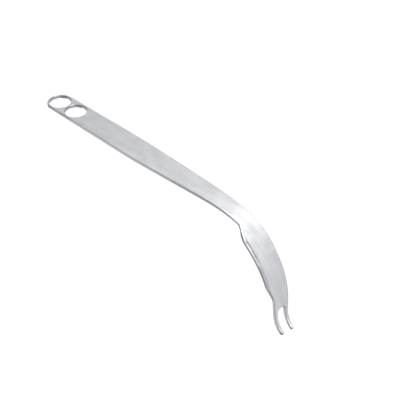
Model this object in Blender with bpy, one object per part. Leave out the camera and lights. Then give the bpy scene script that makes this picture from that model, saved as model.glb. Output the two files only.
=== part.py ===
"""One-piece steel strap retractor lying on the floor, metres, +Z up.

A flat blank is made first: a tapering strap with two finger holes, a side lobe and a
two-pronged fork, with its thickness and rounded rims. The blank is cut into strips where it
will bend. Then the lobe is folded up into a wing, the strap is bent down along its length,
and the finished piece is rolled onto its plain edge, as it comes to rest.
"""
import math

import bmesh
import bpy
import numpy as np

# strap and handle
STOCK_THICKNESS = 0.0030
EDGE_ROUND = 0.0005
FIRST_HOLE_AT = 0.0117
END_RADIUS = 0.0117
HOLE_WALL = 0.0019
HOLE_WEB = 0.0021
WIDEST_AT = 0.119
HANDLE_FLARE = 0.0005
NECK_AT = 0.216
NECK_HALF_WIDTH = 0.0077
BLADE_AT = 0.249
BLADE_HALF_WIDTH = 0.0073
WIDTH_BLEND = 0.006

# sideways sweep of the blade
SWEEP_START = 0.222
SWEEP_RADIUS = 0.378
SWEEP_SINE_LIMIT = 0.9

# fork
CROTCH_AT = 0.3098
CROTCH_CORNER = 0.0026
GAP_HALF_WIDTH = 0.0043
FORK_HALF_WIDTH = 0.0082
TIP_GAP_HALF_WIDTH = 0.0037
TIP_HALF_WIDTH = 0.0063
TIP_AT = 0.3287
TIP_SLANT = 0.0008

# side lobe, folded up as the wing
LOBE_CENTRE_X = 0.269
LOBE_CENTRE_Y = -0.0147
LOBE_RADIUS = 0.0385
LOBE_BLEND = 0.0115
WING_ZONE = (0.232, 0.296)
FOLD_OFFSET = 0.0116
FOLD_OFFSET_AT = 0.240
FOLD_SLOPE = 0.090
FOLD_ANGLE = math.radians(58.0)
FOLD_INNER_RADIUS = 0.0035
WING_EDGE_ROUND = 0.0012
WING_ROUND_BLEND = 0.003

# bends of the side profile: where each starts, how long it is, how far it turns down
BENDS = (
    (0.184, 0.055, math.radians(11.3)),
    (0.214, 0.059, math.radians(30.7)),
    (0.2455, 0.085, math.radians(35.0)),
    (0.306, 0.030, math.radians(-66.7)),
)

# attitude at rest: roll from lying flat, top up, onto the plain edge
REST_ROLL = math.radians(80.9)
LEVELLING_ROUNDS = 12

# mesh fineness
HANDLE_STEP = 0.0125
BLADE_STEP = 0.0020
POINT_CLEARANCE = 0.0005
CUT_TOLERANCE = 0.00003
HOLE_SEGMENTS = 40
END_SEGMENTS = 24
TIP_SEGMENTS = 10
CORNER_SEGMENTS = 5
EDGE_SEGMENTS = 3
FOLD_SEGMENTS = 6
BLEND_SAMPLES = 9
PROFILE_STEP = 0.0005
PROFILE_REACH = 0.010
SHARP_FROM = math.radians(20.0)


def hole_radius():
    return END_RADIUS - HOLE_WALL


def hole_spacing():
    return 2 * hole_radius() + HOLE_WEB


def handle_places():
    """Places on the straight handle past the holes, for outline points and for cuts."""
    start = FIRST_HOLE_AT + hole_spacing() + END_RADIUS
    return np.arange(start, BENDS[0][0] - HANDLE_STEP, HANDLE_STEP)


def blade_places():
    """Places along the bent length for outline points; the cuts go halfway between."""
    return np.arange(BENDS[0][0], TIP_AT, BLADE_STEP)


def sweep(x):
    """Sideways shift of the centre line and its slope angle."""
    angle = np.arcsin(np.clip((x - SWEEP_START) / SWEEP_RADIUS, 0.0, SWEEP_SINE_LIMIT))
    return SWEEP_RADIUS * (1.0 - np.cos(angle)), angle


def half_width(x):
    """Half the strap's width, with soft corners between straight tapers."""
    places = (FIRST_HOLE_AT, WIDEST_AT, NECK_AT, BLADE_AT, CROTCH_AT, TIP_AT)
    widths = (END_RADIUS, END_RADIUS + HANDLE_FLARE, NECK_HALF_WIDTH, BLADE_HALF_WIDTH,
              FORK_HALF_WIDTH, TIP_HALF_WIDTH)
    shifts = np.linspace(-WIDTH_BLEND, WIDTH_BLEND, BLEND_SAMPLES)
    return np.mean([np.interp(x + shift, places, widths) for shift in shifts], axis=0)


def gap_half_width(x):
    return np.interp(x, (CROTCH_AT, TIP_AT), (GAP_HALF_WIDTH, TIP_GAP_HALF_WIDTH))


def soft_max(first, second, size):
    """The larger of two curves, with a fillet of the given size where they cross."""
    overlap = np.clip(size - np.abs(first - second), 0.0, None) / size
    return np.maximum(first, second) + size * overlap ** 2 / 4


def plain_edge(x):
    shift, angle = sweep(x)
    return shift - half_width(x) / np.cos(angle)


def wing_edge(x):
    """Edge on the wing side: the strap's own edge joined to the round lobe."""
    shift, angle = sweep(x)
    strap = shift + half_width(x) / np.cos(angle)
    rise = LOBE_RADIUS ** 2 - (x - LOBE_CENTRE_X) ** 2
    lobe = LOBE_CENTRE_Y + np.sqrt(np.clip(rise, 0.0, None))
    return soft_max(strap, lobe, LOBE_BLEND)


def gap_edge(x, side):
    shift, angle = sweep(x)
    return shift + side * gap_half_width(x) / np.cos(angle)


def arc(centre_x, centre_y, radius, start, end, segments):
    turn = np.linspace(start, end, segments + 1)
    return list(zip(centre_x + radius * np.cos(turn), centre_y + radius * np.sin(turn)))


def prong_tip(side):
    """Round end of one prong, from its low-y edge to its high-y edge.

    The prong on the plain side reaches a little further than the one on the wing side.
    """
    outer = TIP_HALF_WIDTH
    inner = TIP_GAP_HALF_WIDTH
    radius = (outer - inner) / 2
    x = TIP_AT - side * TIP_SLANT - radius
    shift, angle = sweep(x)
    y = shift + side * (outer + inner) / 2 / math.cos(angle)
    return arc(x, y, radius, angle - math.pi / 2, angle + math.pi / 2, TIP_SEGMENTS)


def crotch():
    """Bottom of the fork's gap with two rounded corners, from low y to high y."""
    corner_x = CROTCH_AT + CROTCH_CORNER
    points = []
    for side, start in ((-1, 3 * math.pi / 2), (1, math.pi)):
        flank = gap_edge(corner_x, side)
        y = flank - side * CROTCH_CORNER
        points += arc(corner_x, y, CROTCH_CORNER, start, start - math.pi / 2, CORNER_SEGMENTS)
    return points


def outline():
    """Counter-clockwise outline of the flat blank; the wing side is +y."""
    places = np.concatenate([handle_places(), blade_places()])
    low_tip = prong_tip(-1)
    high_tip = prong_tip(1)
    gap = places[places > CROTCH_AT + CROTCH_CORNER + POINT_CLEARANCE]
    low_end = low_tip[0][0] - POINT_CLEARANCE
    low_gap_end = low_tip[-1][0] - POINT_CLEARANCE
    high_gap_end = high_tip[0][0] - POINT_CLEARANCE
    high_end = high_tip[-1][0] - POINT_CLEARANCE
    points = arc(FIRST_HOLE_AT, 0.0, END_RADIUS, math.pi / 2, 3 * math.pi / 2, END_SEGMENTS)
    points += [(x, plain_edge(x)) for x in places if x < low_end]
    points += low_tip
    points += [(x, gap_edge(x, -1)) for x in gap[::-1] if x < low_gap_end]
    points += crotch()
    points += [(x, gap_edge(x, 1)) for x in gap if x < high_gap_end]
    points += high_tip
    points += [(x, wing_edge(x)) for x in places[::-1] if x < high_end]
    return np.array(points)


def hole(number):
    """Clockwise outline of one finger hole."""
    centre = FIRST_HOLE_AT + number * hole_spacing()
    return np.array(arc(centre, 0.0, hole_radius(), 0.0, -2 * math.pi, HOLE_SEGMENTS)[:-1])


def inward(points):
    """Direction into the metal, on the left of a closed loop, for a rim of even width."""
    along = np.roll(points, -1, axis=0) - points
    along /= np.linalg.norm(along, axis=1)[:, None]
    left = np.column_stack([-along[:, 1], along[:, 0]])
    before = np.roll(left, 1, axis=0)
    return (left + before) / (1.0 + (left * before).sum(axis=1))[:, None]


def rim_round(points):
    """Radius of the rounded rim at each outline point; it is larger on the wing."""
    x, y = points.T
    past = np.where((x > WING_ZONE[0]) & (x < WING_ZONE[1]), y - fold_line(x), 0.0)
    share = np.clip(past / WING_ROUND_BLEND, 0.0, 1.0)
    smooth = share ** 2 * (3.0 - 2.0 * share)
    return EDGE_ROUND + (WING_EDGE_ROUND - EDGE_ROUND) * smooth


def rim_profile():
    """Inset and height of each ring of a rim of radius 1; False marks the lower half."""
    turn = np.linspace(0.0, math.pi / 2, EDGE_SEGMENTS + 1)
    upper = [(1.0 - math.sin(angle), 1.0 - math.cos(angle), True) for angle in turn]
    return upper + [(inset, height, False) for inset, height, _ in upper[::-1]]


def add_rim(blank, points):
    """Rounded wall along one loop; gives the edges of its first and last ring."""
    direction = inward(points)
    radius = rim_round(points)
    rings = []
    for inset, height, on_top in rim_profile():
        flat = points + inset * radius[:, None] * direction
        level = -height * radius if on_top else height * radius - STOCK_THICKNESS
        rings.append([blank.verts.new(place) for place in zip(*flat.T, level)])
    for upper, lower in zip(rings, rings[1:]):
        for here in range(len(upper)):
            before = here - 1
            blank.faces.new((upper[before], lower[before], lower[here], upper[here]))
    ends = []
    for ring in (rings[0], rings[-1]):
        ends.append([blank.edges.get((ring[here - 1], ring[here])) for here in range(len(ring))])
    return ends


def add_face(blank, edges, up):
    """Fills one flat face of the blank; the filler edges are marked as seams."""
    made = bmesh.ops.triangle_fill(blank, edges=edges, use_beauty=True)["geom"]
    faces = [item for item in made if isinstance(item, bmesh.types.BMFace)]
    for face in faces:
        face.normal_update()
        if face.normal.z * up < 0.0:
            face.normal_flip()
    rim = set(edges)
    for edge in {edge for face in faces for edge in face.edges}:
        edge.seam = edge not in rim


def cut_along(blank, point, normal, faces):
    edges = {edge for face in faces for edge in face.edges}
    verts = {vert for face in faces for vert in face.verts}
    bmesh.ops.bisect_plane(
        blank,
        geom=list(verts) + list(edges) + list(faces),
        dist=CUT_TOLERANCE,
        plane_co=point,
        plane_no=normal,
    )


def fold_line(x):
    return FOLD_OFFSET + FOLD_SLOPE * (x - FOLD_OFFSET_AT)


def fold_rows():
    """Distances past the fold line at which the lobe is cut."""
    curve = (FOLD_INNER_RADIUS + STOCK_THICKNESS / 2) * FOLD_ANGLE
    return np.linspace(0.0, curve, FOLD_SEGMENTS + 1)


def cut_strips(blank):
    """Cuts the blank across where it bends, and along the fold of the wing."""
    holes = [FIRST_HOLE_AT, FIRST_HOLE_AT + hole_spacing()]
    for x in np.concatenate([holes, handle_places(), blade_places() + BLADE_STEP / 2]):
        cut_along(blank, (x, 0.0, 0.0), (1.0, 0.0, 0.0), blank.faces[:])
    for row in fold_rows():
        lobe = [face for face in blank.faces
                if WING_ZONE[0] < face.calc_center_median().x < WING_ZONE[1]]
        point = (FOLD_OFFSET_AT, FOLD_OFFSET + row, 0.0)
        cut_along(blank, point, (-FOLD_SLOPE, 1.0, 0.0), lobe)
    filler = [edge for edge in blank.edges if edge.seam]
    bmesh.ops.dissolve_edges(blank, edges=filler, use_verts=True)


def flat_blank():
    blank = bmesh.new()
    top = []
    bottom = []
    for loop in (outline(), hole(0), hole(1)):
        first, last = add_rim(blank, loop)
        top += first
        bottom += last
    add_face(blank, top, 1.0)
    add_face(blank, bottom, -1.0)
    cut_strips(blank)
    return blank


def turn_down(x):
    """Angle below the handle's direction at a place along the strap."""
    total = 0.0
    for start, length, angle in BENDS:
        share = np.clip((x - start) / length, 0.0, 1.0)
        total = total + angle * (share - np.sin(2 * math.pi * share) / (2 * math.pi))
    return total


def side_profile():
    """Centre line of the strap's upper face seen from the side."""
    along = np.arange(FIRST_HOLE_AT - END_RADIUS, TIP_AT + PROFILE_REACH, PROFILE_STEP)
    middle = turn_down((along[1:] + along[:-1]) / 2)
    reach = np.concatenate([[0.0], np.cumsum(np.cos(middle) * PROFILE_STEP)])
    drop = np.concatenate([[0.0], np.cumsum(np.sin(middle) * PROFILE_STEP)])
    return along, reach, drop


def fold_up(x, y, z):
    """Turns the lobe up about the fold line; gives the new side offset and height."""
    past = np.where((x > WING_ZONE[0]) & (x < WING_ZONE[1]), y - fold_line(x), 0.0)
    past = np.clip(past, 0.0, None)
    middle_radius = FOLD_INNER_RADIUS + STOCK_THICKNESS / 2
    angle = np.clip(past / middle_radius, 0.0, FOLD_ANGLE)
    beyond = np.clip(past - middle_radius * FOLD_ANGLE, 0.0, None)
    radius = FOLD_INNER_RADIUS - z
    side = y - past + radius * np.sin(angle) + beyond * np.cos(angle)
    height = FOLD_INNER_RADIUS - radius * np.cos(angle) + beyond * np.sin(angle)
    return side, height


def bent(points):
    """Blank points after folding and bending, top up; the wing side becomes -Y."""
    x, y, z = points.T
    side, height = fold_up(x, y, z)
    along, reach, drop = side_profile()
    angle = turn_down(x)
    new_x = np.interp(x, along, reach) + height * np.sin(angle)
    new_z = height * np.cos(angle) - np.interp(x, along, drop)
    return np.column_stack([new_x, -side, new_z])


def turned(points, angle, first, second):
    """Turns points by an angle from one axis (0, 1 or 2) towards another."""
    result = points.copy()
    result[:, first] = (points[:, first] * math.cos(angle)
                        - points[:, second] * math.sin(angle))
    result[:, second] = (points[:, first] * math.sin(angle)
                         + points[:, second] * math.cos(angle))
    return result


def laid_down(points):
    """Rolls the piece onto its plain edge, wing up, and levels it on that edge."""
    points = turned(points, math.pi, 0, 1)
    points = turned(points, REST_ROLL, 1, 2)
    for _ in range(LEVELLING_ROUNDS):
        middle = (points[:, 0].min() + points[:, 0].max()) / 2
        fork_half = points[points[:, 0] < middle]
        handle_half = points[points[:, 0] >= middle]
        step = handle_half[handle_half[:, 2].argmin()] - fork_half[fork_half[:, 2].argmin()]
        points = turned(points, -math.atan2(step[2], step[0]), 0, 2)
    low = points.min(axis=0)
    high = points.max(axis=0)
    centre = (low + high) / 2
    return points - np.array([centre[0], centre[1], low[2]])


def steel():
    material = bpy.data.materials.new("satin_steel")
    material.use_nodes = True
    shader = material.node_tree.nodes["Principled BSDF"]
    shader.inputs["Base Color"].default_value = (0.62, 0.63, 0.65, 1.0)
    shader.inputs["Metallic"].default_value = 1.0
    shader.inputs["Roughness"].default_value = 0.34
    return material


def build():
    for existing in list(bpy.data.objects):
        bpy.data.objects.remove(existing, do_unlink=True)
    blank = flat_blank()
    bmesh.ops.reverse_faces(blank, faces=blank.faces[:])
    mesh = bpy.data.meshes.new("retractor")
    blank.to_mesh(mesh)
    blank.free()
    points = np.array([vert.co[:] for vert in mesh.vertices])
    points = laid_down(bent(points))
    mesh.vertices.foreach_set("co", points.ravel())
    mesh.polygons.foreach_set("use_smooth", [True] * len(mesh.polygons))
    mesh.set_sharp_from_angle(angle=SHARP_FROM)
    mesh.update()
    mesh.materials.append(steel())
    part = bpy.data.objects.new("retractor", mesh)
    bpy.context.scene.collection.objects.link(part)


build()
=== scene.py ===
"""Looks of the steel strap retractor that lies on its plain edge. Metres, +Z up.

The piece shown has the solid's own form, made again with finer curves and with the true
surface directions of every rounded rim, so that the satin steel reflects smoothly.
"""

import math

import bmesh
import bpy
import numpy as np
from mathutils import Matrix, Vector

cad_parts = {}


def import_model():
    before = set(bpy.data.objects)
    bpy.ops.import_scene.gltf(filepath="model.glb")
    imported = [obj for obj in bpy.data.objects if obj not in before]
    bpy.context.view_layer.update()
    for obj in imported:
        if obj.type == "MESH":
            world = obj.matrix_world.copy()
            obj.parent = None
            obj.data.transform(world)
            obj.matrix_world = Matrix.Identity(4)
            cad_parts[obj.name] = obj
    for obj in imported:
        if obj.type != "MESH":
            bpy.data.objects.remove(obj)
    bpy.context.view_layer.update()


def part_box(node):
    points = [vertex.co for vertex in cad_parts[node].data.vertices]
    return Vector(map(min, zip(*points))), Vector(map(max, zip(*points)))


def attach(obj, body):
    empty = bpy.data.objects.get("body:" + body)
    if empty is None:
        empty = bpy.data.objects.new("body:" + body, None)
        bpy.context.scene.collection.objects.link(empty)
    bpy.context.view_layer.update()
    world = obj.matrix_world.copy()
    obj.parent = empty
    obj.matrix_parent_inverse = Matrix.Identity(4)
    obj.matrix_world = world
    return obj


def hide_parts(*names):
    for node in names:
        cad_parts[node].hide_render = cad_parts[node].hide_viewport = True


# strap and handle
STOCK_THICKNESS = 0.0030
EDGE_ROUND = 0.0005
FIRST_HOLE_AT = 0.0117
END_RADIUS = 0.0117
HOLE_WALL = 0.0019
HOLE_WEB = 0.0021
WIDEST_AT = 0.119
HANDLE_FLARE = 0.0005
NECK_AT = 0.216
NECK_HALF_WIDTH = 0.0077
BLADE_AT = 0.249
BLADE_HALF_WIDTH = 0.0073
WIDTH_BLEND = 0.006

# sideways sweep of the blade
SWEEP_START = 0.222
SWEEP_RADIUS = 0.378
SWEEP_SINE_LIMIT = 0.9

# fork
CROTCH_AT = 0.3098
CROTCH_CORNER = 0.0026
GAP_HALF_WIDTH = 0.0043
FORK_HALF_WIDTH = 0.0082
TIP_GAP_HALF_WIDTH = 0.0037
TIP_HALF_WIDTH = 0.0063
TIP_AT = 0.3287
TIP_SLANT = 0.0008

# side lobe, folded up as the wing
LOBE_CENTRE_X = 0.269
LOBE_CENTRE_Y = -0.0147
LOBE_RADIUS = 0.0385
LOBE_BLEND = 0.0115
WING_ZONE = (0.232, 0.296)
FOLD_OFFSET = 0.0116
FOLD_OFFSET_AT = 0.240
FOLD_SLOPE = 0.090
FOLD_ANGLE = math.radians(58.0)
FOLD_INNER_RADIUS = 0.0035
WING_EDGE_ROUND = 0.0012
WING_ROUND_BLEND = 0.003
FORK_EDGE_ROUND = 0.0009
FORK_ROUND_BLEND = 0.012

# bends of the side profile: where each starts, how long it is, how far it turns down
BENDS = (
    (0.184, 0.055, math.radians(11.3)),
    (0.214, 0.059, math.radians(30.7)),
    (0.2455, 0.085, math.radians(35.0)),
    (0.306, 0.030, math.radians(-66.7)),
)

# attitude at rest: roll from lying flat, top up, onto the plain edge
REST_ROLL = math.radians(80.9)
LEVELLING_ROUNDS = 12

# mesh fineness
HANDLE_STEP = 0.0125
BLADE_STEP = 0.0008
POINT_CLEARANCE = 0.0003
CUT_TOLERANCE = 0.00002
HOLE_SEGMENTS = 120
END_SEGMENTS = 72
TIP_SEGMENTS = 30
CORNER_SEGMENTS = 15
EDGE_SEGMENTS = 5
FOLD_SEGMENTS = 16
BLEND_SAMPLES = 9
PROFILE_STEP = 0.00005
PROFILE_REACH = 0.010
NORMAL_STEP = 0.00002
HELPER_AXIS_LIMIT = 0.5

# plain face of the steel
STEEL_COLOUR = (0.975, 0.982, 1.0, 1.0)
STEEL_TONE = 0.428
STEEL_ROUGHNESS = 0.34
RELIEF_DEPTH = 0.00002
RELIEF_STRENGTH = 0.25

# noises on the flat blank: waves a metre along and across the strap, and levels of detail
GRAIN_WAVES = (40.0, 3000.0, 3.0)
STREAK_WAVES = (16.0, 170.0, 2.0)
MOTTLE_WAVES = (90.0, 130.0, 4.0)
SCRATCH_WAVES = (35.0, 420.0, 1.0)
SCRATCH_PATCH_WAVES = (60.0, 200.0, 2.0)
SCRATCH_PATCH_LEVELS = (0.50, 0.62)
SCRATCH_TURNS = (math.radians(4.0), math.radians(-23.0))
SCRATCH_WIDTH = 0.006
NOISE_LEVELS = (0.3, 0.7)
NOISE_MIDDLE = 0.5

# how far they change the tone and the roughness
GRAIN_TONE = 0.015
STREAK_TONE = 0.016
MOTTLE_TONE = 0.02
SCRATCH_TONE = 0.04
GRAIN_ROUGHNESS = 0.03
MOTTLE_ROUGHNESS = 0.025
SCRATCH_ROUGHNESS = 0.10

# where the rims lie, in height on the blank, whose upper face is at 0
BACK_HEIGHTS = (-STOCK_THICKNESS, -0.0029)
LOWER_RIM_HEIGHTS = (-0.0027, -0.0017)
CORNER_RISES = (-0.0010, -0.0006)
CORNER_FADES = (-0.00008, 0.0)
RIM_HEIGHTS = (-EDGE_ROUND, -EDGE_ROUND / 5)

# rims: painted shade, as the share of the tone that is left or lost, and where along the strap it
# changes
RIM_PAINTED_SHADE = 0.86
RIM_ROUGHNESS = 0.07
LOWER_RIM_PAINTED_SHADE = 0.15
BLADE_RIM_PAINTED_SHADE = 0.30
BLADE_RIM_RISES = (0.2300, 0.2380)
BLADE_RIM_FADES = (0.282, 0.289)
CORNER_PAINTED_SHADE = 0.12
HOLE_CORNER_PAINTED_SHADE = 0.52
HOLE_CORNER_FADES = (0.034, 0.042)
TIP_CORNER_PAINTED_SHADE = 0.22
TIP_CORNER_RISES = (0.316, 0.324)

# ends of the prongs: painted shade that dims the lamps' highlights, and more roughness
TIP_PAINTED_SHADE = 0.74
TIP_SHADE_RISES = (0.319, TIP_AT - 0.002)
TIP_ROUGHNESS = 0.08
TIP_ROUGHNESS_RISES = (0.316, TIP_AT)

# inside of the wing's fold: painted shade in the crease, and more roughness
FOLD_PAINTED_SHADE = 0.45
FOLD_ROUGHNESS = 0.12
FOLD_SHADE_OFFSETS = (0.0026, 0.0046)
FOLD_SHADE_HEIGHTS = (-0.0015, -0.0010)
FOLD_SHADE_RISES = (0.2445, 0.2480)
FOLD_SHADE_FADES = (0.2570, 0.2700)

# floor and surroundings
FLOOR_REACH = 4.0
FLOOR_COLOUR = (0.84, 0.85, 0.873, 1.0)
FLOOR_ROUGHNESS = 0.9
FLOOR_GLOW = 0.30
WHITE = (1.0, 1.0, 1.0, 1.0)
BLACK = (0.0, 0.0, 0.0, 1.0)
WORLD_COLOUR = (0.42, 0.42, 0.43, 1.0)

# soft boxes: name, target on the floor, azimuth, elevation, distance, width, height, power
LAMPS = (
    ("top_box", (0.0, 0.0), -20.0, 78.0, 1.2, 1.3, 1.3, 7.0),
    ("front_strip", (-0.06, 0.0), -6.0, 7.0, 0.5, 0.20, 0.13, 4.5),
    ("front_side_strip", (-0.06, 0.0), -40.0, 9.0, 0.5, 0.26, 0.13, 1.25),
    ("rear_box", (0.0, 0.0), 131.0, 31.0, 2.0, 0.90, 0.55, 4.8),
    ("fork_box", (-0.14, 0.035), 143.0, 38.0, 0.20, 0.07, 0.08, 0.042),
    ("back_box", (-0.10, 0.03), -165.0, 24.0, 0.8, 0.36, 0.25, 0.33),
    ("side_box", (0.0, 0.0), -105.0, 20.0, 1.2, 1.10, 0.50, 2.9),
)

# camera, at the photograph's angle to the piece
CAMERA_PLACE = (-0.352496, -0.355760, 0.401898)
CAMERA_AZIMUTH = -43.4463
CAMERA_ELEVATION = 40.6939
CAMERA_ROLL = -115.5223
CAMERA_LENS = 67.5
CAMERA_SENSOR = 36.0


def hole_radius():
    return END_RADIUS - HOLE_WALL


def hole_spacing():
    return 2 * hole_radius() + HOLE_WEB


def handle_places():
    """Places on the straight handle past the holes, for outline points and for cuts."""
    start = FIRST_HOLE_AT + hole_spacing() + END_RADIUS
    return np.arange(start, BENDS[0][0] - HANDLE_STEP, HANDLE_STEP)


def blade_places():
    """Places along the bent length for outline points; the cuts go halfway between."""
    return np.arange(BENDS[0][0], TIP_AT, BLADE_STEP)


def sweep(x):
    """Sideways shift of the centre line and its slope angle."""
    angle = np.arcsin(np.clip((x - SWEEP_START) / SWEEP_RADIUS, 0.0, SWEEP_SINE_LIMIT))
    return SWEEP_RADIUS * (1.0 - np.cos(angle)), angle


def half_width(x):
    """Half the strap's width, with soft corners between straight tapers."""
    places = (FIRST_HOLE_AT, WIDEST_AT, NECK_AT, BLADE_AT, CROTCH_AT, TIP_AT)
    widths = (END_RADIUS, END_RADIUS + HANDLE_FLARE, NECK_HALF_WIDTH, BLADE_HALF_WIDTH,
              FORK_HALF_WIDTH, TIP_HALF_WIDTH)
    shifts = np.linspace(-WIDTH_BLEND, WIDTH_BLEND, BLEND_SAMPLES)
    return np.mean([np.interp(x + shift, places, widths) for shift in shifts], axis=0)


def gap_half_width(x):
    return np.interp(x, (CROTCH_AT, TIP_AT), (GAP_HALF_WIDTH, TIP_GAP_HALF_WIDTH))


def soft_max(first, second, size):
    """The larger of two curves, with a fillet of the given size where they cross."""
    overlap = np.clip(size - np.abs(first - second), 0.0, None) / size
    return np.maximum(first, second) + size * overlap ** 2 / 4


def plain_edge(x):
    shift, angle = sweep(x)
    return shift - half_width(x) / np.cos(angle)


def wing_edge(x):
    """Edge on the wing side: the strap's own edge joined to the round lobe."""
    shift, angle = sweep(x)
    strap = shift + half_width(x) / np.cos(angle)
    rise = LOBE_RADIUS ** 2 - (x - LOBE_CENTRE_X) ** 2
    lobe = LOBE_CENTRE_Y + np.sqrt(np.clip(rise, 0.0, None))
    return soft_max(strap, lobe, LOBE_BLEND)


def gap_edge(x, side):
    shift, angle = sweep(x)
    return shift + side * gap_half_width(x) / np.cos(angle)


def arc(centre_x, centre_y, radius, start, end, segments):
    turn = np.linspace(start, end, segments + 1)
    return list(zip(centre_x + radius * np.cos(turn), centre_y + radius * np.sin(turn)))


def prong_tip(side):
    """Round end of one prong, from its low-y edge to its high-y edge."""
    outer = TIP_HALF_WIDTH
    inner = TIP_GAP_HALF_WIDTH
    radius = (outer - inner) / 2
    x = TIP_AT - side * TIP_SLANT - radius
    shift, angle = sweep(x)
    y = shift + side * (outer + inner) / 2 / math.cos(angle)
    return arc(x, y, radius, angle - math.pi / 2, angle + math.pi / 2, TIP_SEGMENTS)


def crotch():
    """Bottom of the fork's gap with two rounded corners, from low y to high y."""
    corner_x = CROTCH_AT + CROTCH_CORNER
    points = []
    for side, start in ((-1, 3 * math.pi / 2), (1, math.pi)):
        flank = gap_edge(corner_x, side)
        y = flank - side * CROTCH_CORNER
        points += arc(corner_x, y, CROTCH_CORNER, start, start - math.pi / 2, CORNER_SEGMENTS)
    return points


def outline():
    """Counter-clockwise outline of the flat blank; the wing side is +y."""
    places = np.concatenate([handle_places(), blade_places()])
    low_tip = prong_tip(-1)
    high_tip = prong_tip(1)
    gap = places[places > CROTCH_AT + CROTCH_CORNER + POINT_CLEARANCE]
    low_end = low_tip[0][0] - POINT_CLEARANCE
    low_gap_end = low_tip[-1][0] - POINT_CLEARANCE
    high_gap_end = high_tip[0][0] - POINT_CLEARANCE
    high_end = high_tip[-1][0] - POINT_CLEARANCE
    points = arc(FIRST_HOLE_AT, 0.0, END_RADIUS, math.pi / 2, 3 * math.pi / 2, END_SEGMENTS)
    points += [(x, plain_edge(x)) for x in places if x < low_end]
    points += low_tip
    points += [(x, gap_edge(x, -1)) for x in gap[::-1] if x < low_gap_end]
    points += crotch()
    points += [(x, gap_edge(x, 1)) for x in gap if x < high_gap_end]
    points += high_tip
    points += [(x, wing_edge(x)) for x in places[::-1] if x < high_end]
    return np.array(points)


def hole(number):
    """Clockwise outline of one finger hole."""
    centre = FIRST_HOLE_AT + number * hole_spacing()
    return np.array(arc(centre, 0.0, hole_radius(), 0.0, -2 * math.pi, HOLE_SEGMENTS)[:-1])


def inward(points):
    """Direction into the metal, on the left of a closed loop, for a rim of even width."""
    along = np.roll(points, -1, axis=0) - points
    along /= np.linalg.norm(along, axis=1)[:, None]
    left = np.column_stack([-along[:, 1], along[:, 0]])
    before = np.roll(left, 1, axis=0)
    return (left + before) / (1.0 + (left * before).sum(axis=1))[:, None]


def smooth_step(share):
    share = np.clip(share, 0.0, 1.0)
    return share ** 2 * (3.0 - 2.0 * share)


def rim_round(points):
    """Radius of the rounded rim at each outline point; it is larger on the wing and the fork."""
    x, y = points.T
    past = np.where((x > WING_ZONE[0]) & (x < WING_ZONE[1]), y - fold_line(x), 0.0)
    wing = (WING_EDGE_ROUND - EDGE_ROUND) * smooth_step(past / WING_ROUND_BLEND)
    near_fork = smooth_step((x - CROTCH_AT) / FORK_ROUND_BLEND + 1.0)
    return EDGE_ROUND + np.maximum(wing, (FORK_EDGE_ROUND - EDGE_ROUND) * near_fork)


def rim_profile():
    """Inset, height and turn of each ring of a rim of radius 1; False marks the lower half."""
    turn = np.linspace(0.0, math.pi / 2, EDGE_SEGMENTS + 1)
    upper = [(1.0 - math.sin(angle), 1.0 - math.cos(angle), angle, True) for angle in turn]
    lower = [(inset, height, math.pi - angle, False) for inset, height, angle, _ in upper[::-1]]
    return upper + lower


def add_rim(blank, facing, points):
    """Rounded wall along one loop; gives the edges of its first and last ring."""
    direction = inward(points)
    outward = -direction / np.linalg.norm(direction, axis=1)[:, None]
    radius = rim_round(points)
    rings = []
    for inset, height, turn, on_top in rim_profile():
        flat = points + inset * radius[:, None] * direction
        level = -height * radius if on_top else height * radius - STOCK_THICKNESS
        ring = [blank.verts.new(place) for place in zip(*flat.T, level)]
        for vert, (out_x, out_y) in zip(ring, outward * math.sin(turn)):
            vert[facing] = (out_x, out_y, math.cos(turn))
        rings.append(ring)
    for upper, lower in zip(rings, rings[1:]):
        for here in range(len(upper)):
            before = here - 1
            blank.faces.new((upper[before], lower[before], lower[here], upper[here]))
    ends = []
    for ring in (rings[0], rings[-1]):
        ends.append([blank.edges.get((ring[here - 1], ring[here])) for here in range(len(ring))])
    return ends


def add_face(blank, edges, up):
    """Fills one flat face of the blank; the filler edges are marked as seams."""
    made = bmesh.ops.triangle_fill(blank, edges=edges, use_beauty=True)["geom"]
    faces = [item for item in made if isinstance(item, bmesh.types.BMFace)]
    for face in faces:
        face.normal_update()
        if face.normal.z * up < 0.0:
            face.normal_flip()
    rim = set(edges)
    for edge in {edge for face in faces for edge in face.edges}:
        edge.seam = edge not in rim


def cut_along(blank, point, normal, faces):
    edges = {edge for face in faces for edge in face.edges}
    verts = {vert for face in faces for vert in face.verts}
    bmesh.ops.bisect_plane(
        blank,
        geom=list(verts) + list(edges) + list(faces),
        dist=CUT_TOLERANCE,
        plane_co=point,
        plane_no=normal,
    )


def fold_line(x):
    return FOLD_OFFSET + FOLD_SLOPE * (x - FOLD_OFFSET_AT)


def fold_rows():
    """Distances past the fold line at which the lobe is cut."""
    curve = (FOLD_INNER_RADIUS + STOCK_THICKNESS / 2) * FOLD_ANGLE
    return np.linspace(0.0, curve, FOLD_SEGMENTS + 1)


def cut_strips(blank):
    """Cuts the blank across where it bends, and along the fold of the wing."""
    holes = [FIRST_HOLE_AT, FIRST_HOLE_AT + hole_spacing()]
    for x in np.concatenate([holes, handle_places(), blade_places() + BLADE_STEP / 2]):
        near = [face for face in blank.faces
                if min(vert.co.x for vert in face.verts) < x < max(vert.co.x for vert in face.verts)]
        cut_along(blank, (x, 0.0, 0.0), (1.0, 0.0, 0.0), near)
    for row in fold_rows():
        lobe = [face for face in blank.faces
                if WING_ZONE[0] < face.calc_center_median().x < WING_ZONE[1]]
        point = (FOLD_OFFSET_AT, FOLD_OFFSET + row, 0.0)
        cut_along(blank, point, (-FOLD_SLOPE, 1.0, 0.0), lobe)
    filler = [edge for edge in blank.edges if edge.seam]
    bmesh.ops.dissolve_edges(blank, edges=filler, use_verts=True)


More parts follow.
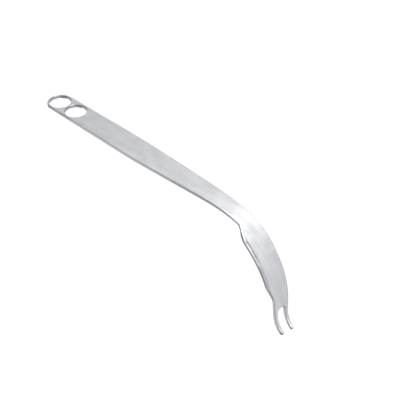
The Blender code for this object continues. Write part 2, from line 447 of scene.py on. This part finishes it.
def flat_blank():
    """The flat blank, with the direction that its surface faces kept at every point."""
    blank = bmesh.new()
    facing = blank.verts.layers.float_vector.new("facing")
    top = []
    bottom = []
    for loop in (outline(), hole(0), hole(1)):
        first, last = add_rim(blank, facing, loop)
        top += first
        bottom += last
    add_face(blank, top, 1.0)
    add_face(blank, bottom, -1.0)
    cut_strips(blank)
    return blank


def turn_down(x):
    """Angle below the handle's direction at a place along the strap."""
    total = 0.0
    for start, length, angle in BENDS:
        share = np.clip((x - start) / length, 0.0, 1.0)
        total = total + angle * (share - np.sin(2 * math.pi * share) / (2 * math.pi))
    return total


def side_profile():
    """Centre line of the strap's upper face seen from the side."""
    along = np.arange(FIRST_HOLE_AT - END_RADIUS, TIP_AT + PROFILE_REACH, PROFILE_STEP)
    middle = turn_down((along[1:] + along[:-1]) / 2)
    reach = np.concatenate([[0.0], np.cumsum(np.cos(middle) * PROFILE_STEP)])
    drop = np.concatenate([[0.0], np.cumsum(np.sin(middle) * PROFILE_STEP)])
    return along, reach, drop


def fold_up(x, y, z):
    """Turns the lobe up about the fold line; gives the new side offset and height."""
    past = np.where((x > WING_ZONE[0]) & (x < WING_ZONE[1]), y - fold_line(x), 0.0)
    past = np.clip(past, 0.0, None)
    middle_radius = FOLD_INNER_RADIUS + STOCK_THICKNESS / 2
    angle = np.clip(past / middle_radius, 0.0, FOLD_ANGLE)
    beyond = np.clip(past - middle_radius * FOLD_ANGLE, 0.0, None)
    radius = FOLD_INNER_RADIUS - z
    side = y - past + radius * np.sin(angle) + beyond * np.cos(angle)
    height = FOLD_INNER_RADIUS - radius * np.cos(angle) + beyond * np.sin(angle)
    return side, height


def bent(points):
    """Blank points after folding and bending, top up; the wing side becomes -Y."""
    x, y, z = points.T
    side, height = fold_up(x, y, z)
    along, reach, drop = side_profile()
    angle = turn_down(x)
    new_x = np.interp(x, along, reach) + height * np.sin(angle)
    new_z = height * np.cos(angle) - np.interp(x, along, drop)
    return np.column_stack([new_x, -side, new_z])


def bent_facing(points, facing):
    """Directions that the surface faces after folding and bending."""
    across = np.abs(facing[:, :1]) < HELPER_AXIS_LIMIT
    helper = np.where(across, (1.0, 0.0, 0.0), (0.0, 1.0, 0.0))
    first = np.cross(facing, helper)
    first /= np.linalg.norm(first, axis=1)[:, None]
    second = np.cross(facing, first)
    along_first = bent(points + NORMAL_STEP * first) - bent(points - NORMAL_STEP * first)
    along_second = bent(points + NORMAL_STEP * second) - bent(points - NORMAL_STEP * second)
    result = np.cross(along_second, along_first)
    return result / np.linalg.norm(result, axis=1)[:, None]


def turned(points, angle, first, second):
    """Turns points by an angle from one axis (0, 1 or 2) towards another."""
    result = points.copy()
    result[:, first] = (points[:, first] * math.cos(angle)
                        - points[:, second] * math.sin(angle))
    result[:, second] = (points[:, first] * math.sin(angle)
                         + points[:, second] * math.cos(angle))
    return result


def laid_down(points, facing, box):
    """Rolls the piece onto its plain edge, levels it there and fits it into the solid's box."""
    points = turned(turned(points, math.pi, 0, 1), REST_ROLL, 1, 2)
    facing = turned(turned(facing, math.pi, 0, 1), REST_ROLL, 1, 2)
    for _ in range(LEVELLING_ROUNDS):
        middle = (points[:, 0].min() + points[:, 0].max()) / 2
        fork_half = points[points[:, 0] < middle]
        handle_half = points[points[:, 0] >= middle]
        step = handle_half[handle_half[:, 2].argmin()] - fork_half[fork_half[:, 2].argmin()]
        level = -math.atan2(step[2], step[0])
        points = turned(points, level, 0, 2)
        facing = turned(facing, level, 0, 2)
    centre = (points.min(axis=0) + points.max(axis=0)) / 2
    size = points.max(axis=0) - points.min(axis=0)
    fit = np.minimum(1.0, np.array(box[1] - box[0]) / size)
    return (points - centre) * fit + np.array((box[0] + box[1]) / 2), facing


def retractor(box):
    """The whole piece as one fine mesh, with its place on the flat blank kept for the grain."""
    blank = flat_blank()
    layer = blank.verts.layers.float_vector["facing"]
    flat = np.array([vert.co[:] for vert in blank.verts])
    facing = np.array([vert[layer][:] for vert in blank.verts])
    facing /= np.linalg.norm(facing, axis=1)[:, None]
    bmesh.ops.reverse_faces(blank, faces=blank.faces[:])
    mesh = bpy.data.meshes.new("retractor_steel")
    blank.to_mesh(mesh)
    blank.free()
    mesh.attributes.remove(mesh.attributes["facing"])
    points, facing = laid_down(bent(flat), bent_facing(flat, facing), box)
    mesh.vertices.foreach_set("co", points.ravel())
    place = mesh.attributes.new("blank_place", "FLOAT_VECTOR", "POINT")
    place.data.foreach_set("vector", flat.ravel())
    mesh.polygons.foreach_set("use_smooth", [True] * len(mesh.polygons))
    mesh.update()
    mesh.normals_split_custom_set_from_vertices(facing.tolist())
    piece = bpy.data.objects.new("retractor_steel", mesh)
    bpy.context.scene.collection.objects.link(piece)
    return piece


def add_node(tree, kind, inputs, **settings):
    """New node; each input takes a plain value or another node's output."""
    made = tree.nodes.new(kind)
    for name, value in settings.items():
        setattr(made, name, value)
    for name, value in inputs.items():
        if isinstance(value, bpy.types.NodeSocket):
            tree.links.new(value, made.inputs[name])
        else:
            made.inputs[name].default_value = value
    return made


def noise(tree, place, waves, turn=0.0):
    """Noise on the flat blank, with that many waves a metre along and across the strap."""
    along, across, detail = waves
    turned_place = add_node(tree, "ShaderNodeVectorRotate", {"Vector": place, "Angle": turn},
                            rotation_type="Z_AXIS")
    scaled = add_node(tree, "ShaderNodeMapping",
                      {"Vector": turned_place.outputs["Vector"], "Scale": (along, across, across)})
    made = add_node(tree, "ShaderNodeTexNoise",
                    {"Vector": scaled.outputs["Vector"], "Scale": 1.0, "Detail": detail})
    return made.outputs["Fac"]


def ramp(tree, value, limits, low, high):
    """Runs smoothly from low to high while the value runs between its two limits."""
    start, end = limits
    made = add_node(
        tree,
        "ShaderNodeMapRange",
        {"Value": value, "From Min": start, "From Max": end, "To Min": low, "To Max": high},
        interpolation_type="SMOOTHSTEP",
    )
    return made.outputs["Result"]


def maths(tree, operation, first, second):
    made = add_node(tree, "ShaderNodeMath", {0: first, 1: second}, operation=operation)
    return made.outputs["Value"]


def total(tree, terms):
    result = terms[0]
    for term in terms[1:]:
        result = maths(tree, "ADD", result, term)
    return result


def product(tree, factors):
    result = factors[0]
    for factor in factors[1:]:
        result = maths(tree, "MULTIPLY", result, factor)
    return result


def swing(tree, level, strength):
    """Turns a noise into a change of up to that strength, either way."""
    return ramp(tree, level, NOISE_LEVELS, -strength, strength)


def scratches(tree, place, turn):
    """Hairlines along the middle level of a stretched noise, broken up by a second one."""
    level = noise(tree, place, SCRATCH_WAVES, turn)
    off = maths(tree, "ABSOLUTE", maths(tree, "SUBTRACT", level, NOISE_MIDDLE), 0.0)
    line = ramp(tree, off, (0.0, SCRATCH_WIDTH), 1.0, 0.0)
    patches = noise(tree, place, SCRATCH_PATCH_WAVES, turn)
    present = ramp(tree, patches, SCRATCH_PATCH_LEVELS, 0.0, 1.0)
    return maths(tree, "MULTIPLY", line, present)


def inside_fold(tree, split):
    """1 on the inner face of the wing past its fold line, where the fold is deepest and painted shade
    lies in the crease; 0 elsewhere.
    """
    slope = maths(tree, "MULTIPLY", maths(tree, "SUBTRACT", split["X"], FOLD_OFFSET_AT), FOLD_SLOPE)
    past = maths(tree, "SUBTRACT", maths(tree, "SUBTRACT", split["Y"], slope), FOLD_OFFSET)
    beyond = ramp(tree, past, FOLD_SHADE_OFFSETS, 0.0, 1.0)
    inner_side = ramp(tree, split["Z"], FOLD_SHADE_HEIGHTS, 0.0, 1.0)
    starts = ramp(tree, split["X"], FOLD_SHADE_RISES, 0.0, 1.0)
    ends = ramp(tree, split["X"], FOLD_SHADE_FADES, 1.0, 0.0)
    shade = maths(tree, "MULTIPLY", beyond, inner_side)
    return maths(tree, "MULTIPLY", shade, maths(tree, "MULTIPLY", starts, ends))


def finish_and_shade_marks(tree):
    """The patterns that the finish is made of and the masks of the painted shade, each on the flat
    blank.
    """
    attribute = add_node(tree, "ShaderNodeAttribute", {}, attribute_name="blank_place")
    place = attribute.outputs["Vector"]
    split = add_node(tree, "ShaderNodeSeparateXYZ", {"Vector": place}).outputs
    first, second = [scratches(tree, place, turn) for turn in SCRATCH_TURNS]
    off_back = ramp(tree, split["Z"], BACK_HEIGHTS, 0.0, 1.0)
    near_corner = ramp(tree, split["Z"], RIM_HEIGHTS, 1.0, 0.0)
    return {
        "along": split["X"],
        "height": split["Z"],
        "grain": noise(tree, place, GRAIN_WAVES),
        "streaks": noise(tree, place, STREAK_WAVES),
        "mottle": noise(tree, place, MOTTLE_WAVES),
        "hairlines": maths(tree, "MAXIMUM", first, second),
        "off_back": off_back,
        "rim": maths(tree, "MULTIPLY", off_back, near_corner),
        "fold": inside_fold(tree, split),
    }


def painted_lower_rim_shade(tree, marks):
    """Share of the tone left on the lower rim by painted shade, which is darkest beside the blade."""
    low = ramp(tree, marks["height"], LOWER_RIM_HEIGHTS, 1.0, 0.0)
    lower = maths(tree, "MULTIPLY", marks["off_back"], low)
    rises = ramp(tree, marks["along"], BLADE_RIM_RISES, 0.0, BLADE_RIM_PAINTED_SHADE)
    blade = maths(tree, "MULTIPLY", rises, ramp(tree, marks["along"], BLADE_RIM_FADES, 1.0, 0.0))
    loss = maths(tree, "MULTIPLY", lower, maths(tree, "ADD", blade, LOWER_RIM_PAINTED_SHADE))
    return maths(tree, "SUBTRACT", 1.0, loss)


def painted_corner_shade(tree, marks):
    """Share of the tone left below the upper corner by painted shade that dims the lamps' highlights,
    which is darkest at the finger holes.
    """
    corner = maths(tree, "MULTIPLY", ramp(tree, marks["height"], CORNER_RISES, 0.0, 1.0),
                   ramp(tree, marks["height"], CORNER_FADES, 1.0, 0.0))
    holes = ramp(tree, marks["along"], HOLE_CORNER_FADES, HOLE_CORNER_PAINTED_SHADE, CORNER_PAINTED_SHADE)
    tips = ramp(tree, marks["along"], TIP_CORNER_RISES, CORNER_PAINTED_SHADE, TIP_CORNER_PAINTED_SHADE)
    loss = maths(tree, "MULTIPLY", corner, maths(tree, "MAXIMUM", holes, tips))
    return maths(tree, "SUBTRACT", 1.0, loss)


def steel_tone(tree, marks):
    """Brightness of the steel, from 0 to 1, with painted shade on the rims, the prong tips and inside
    the wing's fold.
    """
    face = total(tree, (
        swing(tree, marks["grain"], GRAIN_TONE),
        swing(tree, marks["streaks"], STREAK_TONE),
        swing(tree, marks["mottle"], MOTTLE_TONE),
        maths(tree, "MULTIPLY", marks["hairlines"], SCRATCH_TONE),
        STEEL_TONE,
    ))
    return product(tree, (
        face,
        # painted shade on the lower rim
        painted_lower_rim_shade(tree, marks),
        # painted shade on the rounded rims, dimming the lamps' highlights there
        ramp(tree, marks["rim"], (0.0, 1.0), 1.0, RIM_PAINTED_SHADE),
        # painted shade below the upper corners
        painted_corner_shade(tree, marks),
        # painted shade at the prong tips
        ramp(tree, marks["along"], TIP_SHADE_RISES, 1.0, TIP_PAINTED_SHADE),
        # painted shade inside the wing's fold
        ramp(tree, marks["fold"], (0.0, 1.0), 1.0, FOLD_PAINTED_SHADE),
    ))


def steel_roughness(tree, marks):
    return total(tree, (
        swing(tree, marks["grain"], GRAIN_ROUGHNESS),
        swing(tree, marks["mottle"], MOTTLE_ROUGHNESS),
        maths(tree, "MULTIPLY", marks["hairlines"], SCRATCH_ROUGHNESS),
        ramp(tree, marks["rim"], (0.0, 1.0), 0.0, RIM_ROUGHNESS),
        ramp(tree, marks["fold"], (0.0, 1.0), 0.0, FOLD_ROUGHNESS),
        ramp(tree, marks["along"], TIP_ROUGHNESS_RISES, 0.0, TIP_ROUGHNESS),
        STEEL_ROUGHNESS,
    ))


def satin_steel():
    """Brushed steel: fine lines along the strap, mottling, hairlines, and rougher rims and tips; the
    rims, the prong tips and the wing's fold carry painted shade.
    """
    material = bpy.data.materials.new("satin_steel_finish")
    material.use_nodes = True
    tree = material.node_tree
    shader = tree.nodes["Principled BSDF"]
    marks = finish_and_shade_marks(tree)
    colour = add_node(tree, "ShaderNodeMix", {"Factor": steel_tone(tree, marks)}, data_type="RGBA")
    colour.inputs["A"].default_value = BLACK
    colour.inputs["B"].default_value = STEEL_COLOUR
    relief = maths(tree, "SUBTRACT", marks["grain"], marks["hairlines"])
    bump = add_node(tree, "ShaderNodeBump",
                    {"Height": relief, "Strength": RELIEF_STRENGTH, "Distance": RELIEF_DEPTH})
    tree.links.new(colour.outputs["Result"], shader.inputs["Base Color"])
    tree.links.new(steel_roughness(tree, marks), shader.inputs["Roughness"])
    tree.links.new(bump.outputs["Normal"], shader.inputs["Normal"])
    shader.inputs["Metallic"].default_value = 1.0
    return material


def floor_finish():
    """Pale matt floor that looks white to the camera and in the steel, and keeps its shadow."""
    material = bpy.data.materials.new("pale_floor")
    material.use_nodes = True
    tree = material.node_tree
    shader = tree.nodes["Principled BSDF"]
    shader.inputs["Base Color"].default_value = FLOOR_COLOUR
    shader.inputs["Roughness"].default_value = FLOOR_ROUGHNESS
    shader.inputs["Emission Color"].default_value = WHITE
    path = add_node(tree, "ShaderNodeLightPath", {}).outputs
    seen = maths(tree, "MAXIMUM", path["Is Camera Ray"], path["Is Glossy Ray"])
    glow = maths(tree, "MULTIPLY", seen, FLOOR_GLOW)
    tree.links.new(glow, shader.inputs["Emission Strength"])
    return material


def floor():
    corners = [(x * FLOOR_REACH, y * FLOOR_REACH, 0.0) for x, y in ((-1, -1), (1, -1), (1, 1), (-1, 1))]
    mesh = bpy.data.meshes.new("floor")
    mesh.from_pydata(corners, [], [(0, 1, 2, 3)])
    mesh.materials.append(floor_finish())
    plane = bpy.data.objects.new("floor", mesh)
    bpy.context.scene.collection.objects.link(plane)


def direction(azimuth, elevation):
    """Unit vector from the piece towards a viewer at that azimuth and elevation."""
    azimuth = math.radians(azimuth)
    elevation = math.radians(elevation)
    flat = math.cos(elevation)
    return Vector((math.sin(azimuth) * flat, -math.cos(azimuth) * flat, math.sin(elevation)))


def lamp(name, target, azimuth, elevation, distance, width, height, power):
    """Soft box that looks at a target on the floor from the given side."""
    light = bpy.data.lights.new(name, "AREA")
    light.shape = "RECTANGLE"
    light.size = width
    light.size_y = height
    light.energy = power
    item = bpy.data.objects.new(name, light)
    back = direction(azimuth, elevation)
    item.location = Vector((*target, 0.0)) + back * distance
    item.visible_camera = False
    item.rotation_euler = back.to_track_quat("Z", "Y").to_euler()
    bpy.context.scene.collection.objects.link(item)


def world():
    sky = bpy.data.worlds.new("studio")
    bpy.context.scene.world = sky
    sky.use_nodes = True
    sky.node_tree.nodes["Background"].inputs["Color"].default_value = WORLD_COLOUR


def camera():
    """Camera that is rolled about its line of sight, as the photograph's view needs."""
    lens = bpy.data.cameras.new("camera")
    lens.sensor_width = CAMERA_SENSOR
    lens.lens = CAMERA_LENS
    item = bpy.data.objects.new("camera", lens)
    bpy.context.scene.collection.objects.link(item)
    azimuth = math.radians(CAMERA_AZIMUTH)
    back = direction(CAMERA_AZIMUTH, CAMERA_ELEVATION)
    level = Vector((math.cos(azimuth), math.sin(azimuth), 0.0))
    above = back.cross(level)
    roll = math.radians(CAMERA_ROLL)
    right = level * math.cos(roll) + above * math.sin(roll)
    up = back.cross(right)
    turn = Matrix((right, up, back)).transposed()
    item.matrix_world = Matrix.Translation(CAMERA_PLACE) @ turn.to_4x4()
    bpy.context.scene.camera = item


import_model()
steel_piece = retractor(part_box("retractor"))
steel_piece.data.materials.append(satin_steel())
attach(steel_piece, "root")
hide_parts("retractor")
floor()
for box_values in LAMPS:
    lamp(*box_values)
world()
camera()
bpy.context.scene.view_settings.view_transform = "Standard"
